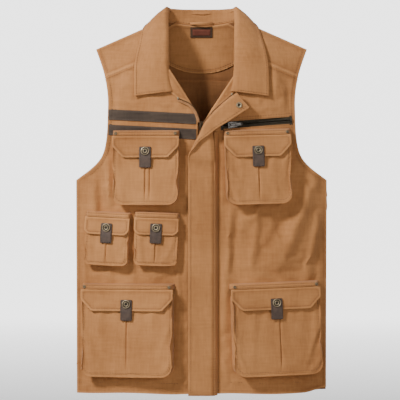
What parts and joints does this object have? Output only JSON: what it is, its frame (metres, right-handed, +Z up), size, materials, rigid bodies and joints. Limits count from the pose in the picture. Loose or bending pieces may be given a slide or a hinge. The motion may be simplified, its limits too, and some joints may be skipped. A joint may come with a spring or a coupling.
{
  "type": "fishing vest",
  "caption": "Sleeveless canvas vest with a turned-down collar, open V neck over a zip and storm flap, and bellows pockets under snap flaps with leather tabs.",
  "frame": {"origin": "the upper edge of the hanger loop inside the back neck, in the middle of its bow, where a peg bears; the vest hangs from it", "axes": "+Z up along the vest's length, -Y out of the fronts, +X towards the wearer's left"},
  "size_m": [0.506, 0.117, 0.7797],
  "materials": {
    "canvas": "washed cotton canvas, tan",
    "facing": "cotton canvas facing, tan",
    "webbing": "dark brown ribbed webbing",
    "leather": "dark brown leather, matt",
    "antique_brass": "antique brass",
    "dark_tape": "dark olive-brown zip tape",
    "dark_zip": "dark moulded zip teeth",
    "zip_slider": "worn grey metal",
    "tan_tape": "tan woven zip tape",
    "zip_brass": "brass zip teeth",
    "label": "plain woven label"
  },
  "bodies": {
    "vest": {"back_panel": "canvas", "back_yoke": "canvas", "chest_zip_bag": "dark_tape", "chest_zip_stops": "dark_zip", "chest_zip_tapes": "dark_tape", "chest_zip_teeth": "dark_zip", "collar_fall": "canvas", "collar_stand": "canvas", "flap_headings": "canvas", "flap_rivets": "antique_brass", "front_facings": "facing", "front_zip_stops": "zip_brass", "front_zip_tapes": "tan_tape", "front_zip_teeth": "zip_brass", "hanger_loop": "facing", "hem_facing": "facing", "left_armhole_facing": "facing", "left_chest_bag": "canvas", "left_front": "canvas", "left_lower_bag": "canvas", "left_shoulder_yoke": "canvas", "neck_facing": "facing", "neck_label": "label", "pocket_studs": "antique_brass", "right_armhole_facing": "facing", "right_chest_bag": "canvas", "right_front": "canvas", "right_inner_small_bag": "canvas", "right_lower_bag": "canvas", "right_outer_small_bag": "canvas", "right_shoulder_yoke": "canvas", "storm_flap_fixed_snaps": "antique_brass", "storm_flap_seam": "canvas", "storm_flap_turned_top": "canvas", "webbing_lower": "webbing", "webbing_upper": "webbing"},
    "right_chest_flap_body": {"right_chest_flap": "canvas", "right_chest_tab": "leather", "right_chest_snap": "antique_brass"},
    "left_chest_flap_body": {"left_chest_flap": "canvas", "left_chest_tab": "leather", "left_chest_snap": "antique_brass"},
    "right_inner_small_flap_body": {"right_inner_small_flap": "canvas", "right_inner_small_tab": "leather", "right_inner_small_snap": "antique_brass"},
    "right_outer_small_flap_body": {"right_outer_small_flap": "canvas", "right_outer_small_tab": "leather", "right_outer_small_snap": "antique_brass"},
    "right_lower_flap_body": {"right_lower_flap": "canvas", "right_lower_tab": "leather", "right_lower_snap": "antique_brass"},
    "left_lower_flap_body": {"left_lower_flap": "canvas", "left_lower_tab": "leather", "left_lower_snap": "antique_brass"},
    "storm_flap_body": {"storm_flap": "canvas", "storm_flap_sockets": "antique_brass"},
    "front_zip_slider_body": {"front_zip_slider": "zip_brass"},
    "front_zip_pull_body": {"front_zip_pull": "zip_brass"},
    "chest_zip_slider_body": {"chest_zip_slider": "zip_slider"},
    "chest_zip_pull_body": {"chest_zip_pull": "zip_slider"}
  },
  "joints": [
    {"name": "right_chest_flap_fold", "type": "hinge", "parent": "vest", "child": "right_chest_flap_body", "pos_m": [-0.11211, -0.06908, -0.23238], "axis": [-0.9944, 0.1059, 0], "range_deg": [0, 140]},
    {"name": "left_chest_flap_fold", "type": "hinge", "parent": "vest", "child": "left_chest_flap_body", "pos_m": [0.1121, -0.06908, -0.23038], "axis": [-0.9939, -0.1058, -0.0299], "range_deg": [0, 140]},
    {"name": "right_inner_small_flap_fold", "type": "hinge", "parent": "vest", "child": "right_inner_small_flap_body", "pos_m": [-0.08983, -0.0708, -0.39593], "axis": [-0.9972, 0.0665, 0.034], "range_deg": [0, 125]},
    {"name": "right_outer_small_flap_fold", "type": "hinge", "parent": "vest", "child": "right_outer_small_flap_body", "pos_m": [-0.18867, -0.05565, -0.39543], "axis": [-0.9642, 0.2616, 0.0438], "range_deg": [0, 125]},
    {"name": "right_lower_flap_fold", "type": "hinge", "parent": "vest", "child": "right_lower_flap_body", "pos_m": [-0.14986, -0.06416, -0.53947], "axis": [-0.9828, 0.1846, 0], "range_deg": [0, 140]},
    {"name": "left_lower_flap_fold", "type": "hinge", "parent": "vest", "child": "left_lower_flap_body", "pos_m": [0.14866, -0.06436, -0.53647], "axis": [-0.9829, -0.181, -0.0331], "range_deg": [0, 140]},
    {"name": "storm_flap_fold", "type": "hinge", "parent": "vest", "child": "storm_flap_body", "pos_m": [0.0247, -0.06987, -0.5223], "axis": [0, 0, 1], "range_deg": [0, 130]},
    {"name": "front_zip_run", "type": "slide", "parent": "vest", "child": "front_zip_slider_body", "axis": [0, 0, 1], "range_m": [-0.518, 0]},
    {"name": "front_zip_pull_swing", "type": "hinge", "parent": "front_zip_slider_body", "child": "front_zip_pull_body", "pos_m": [0, -0.06337, -0.20784], "axis": [-1, 0, 0], "range_deg": [0, 20]},
    {"name": "chest_zip_run", "type": "slide", "parent": "vest", "child": "chest_zip_slider_body", "axis": [0.9912, 0.1055, 0.0803], "range_m": [-0.0104, 0.1076]},
    {"name": "chest_zip_pull_swing", "type": "hinge", "parent": "chest_zip_slider_body", "child": "chest_zip_pull_body", "pos_m": [0.05864, -0.06512, -0.21051], "axis": [0.0798, 0.0085, -0.9968], "range_deg": [0, 120]}
  ]
}
